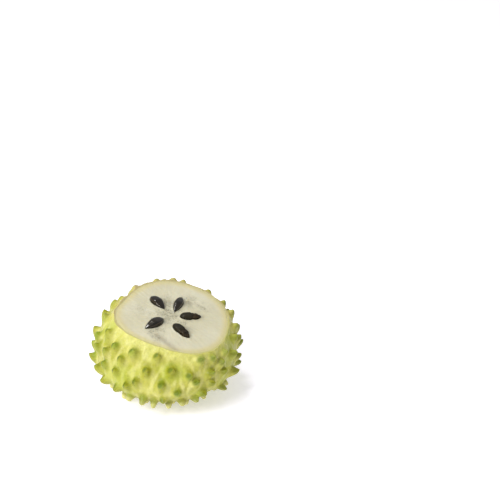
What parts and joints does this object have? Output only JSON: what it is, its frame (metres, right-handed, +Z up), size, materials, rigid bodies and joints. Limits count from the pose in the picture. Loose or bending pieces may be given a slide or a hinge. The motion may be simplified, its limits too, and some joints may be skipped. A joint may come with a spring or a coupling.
{
  "type": "cut soursop fruit",
  "caption": "Cut soursop resting on its soft spines: thin spiny green-yellow peel, white pulp with a flat cut face, dark seeds lying in it and a dry stalk stub underneath.",
  "frame": {"origin": "on the surface the fruit rests on, under the middle of its outline", "axes": "+Z up, out of the cut face; +X to the right and -Y to the front, the two sides the cut face falls towards"},
  "size_m": [0.1152, 0.1154, 0.0679],
  "materials": {
    "peel": "waxy yellow-green fruit skin, greener at the spine tips",
    "pulp": "moist cream-white fruit flesh",
    "seed": "smooth shiny brown-black seed coat",
    "stalk": "dry brown bark, paler on the broken end"
  },
  "bodies": {
    "root": {"skin": "peel", "flesh": "pulp", "seed_1": "seed", "seed_2": "seed", "seed_3": "seed", "seed_4": "seed", "seed_5": "seed", "stem": "stalk"}
  },
  "joints": []
}
